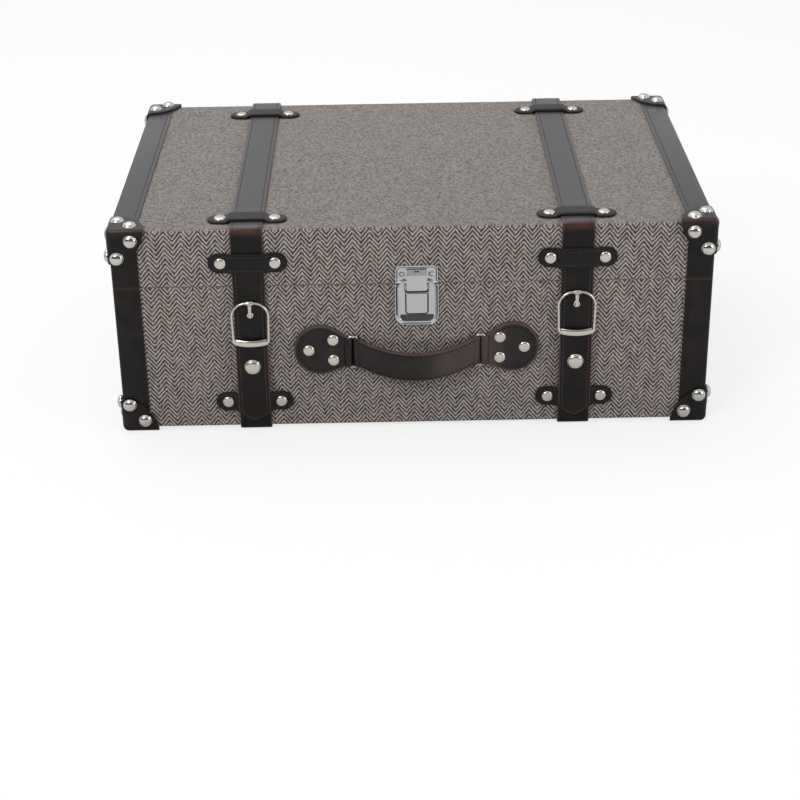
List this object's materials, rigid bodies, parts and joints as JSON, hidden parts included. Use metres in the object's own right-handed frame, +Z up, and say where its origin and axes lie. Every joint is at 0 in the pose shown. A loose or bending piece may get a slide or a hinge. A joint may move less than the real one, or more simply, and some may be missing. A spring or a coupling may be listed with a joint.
{
  "type": "tweed-covered suitcase trunk",
  "caption": "Suitcase-shaped wooden trunk covered in herringbone tweed, with leather caps and trims, buckled leather straps, a toggle latch, a hinged lid and a leather carrying handle.",
  "frame": {"origin": "centre of the whole trunk's box on the floor it rests on", "axes": "+X to the right across the front, -Y out of the front with its latch and handle, +Z up"},
  "size_m": [0.5106, 0.3518, 0.191],
  "materials": {
    "tweed": "herringbone tweed in warm light grey and brown-black",
    "dark_leather": "smooth brown-black leather with worn reddish-brown edges",
    "plywood": "bare plywood",
    "lining": "plain woven cotton",
    "satin_nickel": "satin nickel",
    "satin_chrome": "satin chrome",
    "bright_steel": "bright steel"
  },
  "bodies": {
    "base": {"base_front_panel": "plywood", "base_back_panel": "plywood", "base_left_panel": "plywood", "base_right_panel": "plywood", "base_floor_panel": "plywood", "base_cover": "tweed", "base_lining": "lining", "base_trim_left": "dark_leather", "base_trim_right": "dark_leather", "base_front_left_cap": "dark_leather", "base_front_right_cap": "dark_leather", "base_back_left_cap": "dark_leather", "base_back_right_cap": "dark_leather", "base_strap_left": "dark_leather", "base_strap_right": "dark_leather", "base_keeper_left": "dark_leather", "base_keeper_right": "dark_leather", "hinge_base_leaf_left": "bright_steel", "hinge_base_leaf_right": "bright_steel", "handle_tab_left": "dark_leather", "handle_tab_right": "dark_leather", "handle_ring_left": "satin_nickel", "handle_ring_right": "satin_nickel", "handle_end_left": "dark_leather", "handle_end_right": "dark_leather", "latch_base_plate": "satin_chrome", "latch_lever_pin": "satin_chrome"},
    "lid": {"lid_front_panel": "plywood", "lid_back_panel": "plywood", "lid_left_panel": "plywood", "lid_right_panel": "plywood", "lid_top_panel": "plywood", "lid_cover": "tweed", "lid_lining": "lining", "lid_trim_left": "dark_leather", "lid_trim_right": "dark_leather", "lid_front_left_cap": "dark_leather", "lid_front_right_cap": "dark_leather", "lid_back_left_cap": "dark_leather", "lid_back_right_cap": "dark_leather", "lid_strap_left": "dark_leather", "lid_strap_right": "dark_leather", "front_keeper_left": "dark_leather", "front_keeper_right": "dark_leather", "top_front_keeper_left": "dark_leather", "top_front_keeper_right": "dark_leather", "top_back_keeper_left": "dark_leather", "top_back_keeper_right": "dark_leather", "hinge_lid_leaf_left": "bright_steel", "hinge_lid_leaf_right": "bright_steel", "latch_catch_plate": "satin_chrome"},
    "handle": {"handle_grip": "dark_leather"},
    "latch_lever": {"latch_lever": "satin_chrome"},
    "latch_hook": {"latch_hook": "satin_chrome"},
    "strap_flap_left": {"strap_flap_left": "dark_leather", "buckle_frame_left": "satin_nickel"},
    "buckle_prong_left": {"buckle_prong_left": "satin_nickel"},
    "strap_flap_right": {"strap_flap_right": "dark_leather", "buckle_frame_right": "satin_nickel"},
    "buckle_prong_right": {"buckle_prong_right": "satin_nickel"}
  },
  "joints": [
    {"name": "lid_hinge", "type": "hinge", "parent": "base", "child": "lid", "pos_m": [0, 0.172, 0.1339], "axis": [-1, 0, 0], "range_deg": [0, 105]},
    {"name": "strap_flap_left_bend", "type": "hinge", "parent": "lid", "child": "strap_flap_left", "pos_m": [-0.1365, -0.1613, 0.143], "axis": [-1, 0, 0], "range_deg": [0, 100]},
    {"name": "strap_flap_right_bend", "type": "hinge", "parent": "lid", "child": "strap_flap_right", "pos_m": [0.1365, -0.1613, 0.143], "axis": [-1, 0, 0], "range_deg": [0, 100]},
    {"name": "buckle_prong_left_pivot", "type": "hinge", "parent": "strap_flap_left", "child": "buckle_prong_left", "pos_m": [-0.1365, -0.16606, 0.12082], "axis": [-1, 0, 0], "range_deg": [0, 100]},
    {"name": "buckle_prong_right_pivot", "type": "hinge", "parent": "strap_flap_right", "child": "buckle_prong_right", "pos_m": [0.1365, -0.16577, 0.12572], "axis": [-1, 0, 0], "range_deg": [0, 100]},
    {"name": "handle_swing", "type": "hinge", "parent": "base", "child": "handle", "pos_m": [0.0023, -0.1659, 0.078], "axis": [-1, 0, 0], "range_deg": [0, 90]},
    {"name": "latch_lever_pivot", "type": "hinge", "parent": "base", "child": "latch_lever", "pos_m": [0.003, -0.1642, 0.1362], "axis": [-1, 0, 0], "range_deg": [0, 105]},
    {"name": "latch_hook_pivot", "type": "hinge", "parent": "latch_lever", "child": "latch_hook", "pos_m": [0.003, -0.1642, 0.1303], "axis": [-1, 0, 0], "range_deg": [-125, 5]}
  ],
  "couplings": [
    {"joint": "latch_hook_pivot", "follows": "latch_lever_pivot", "ratio": -1}
  ]
}
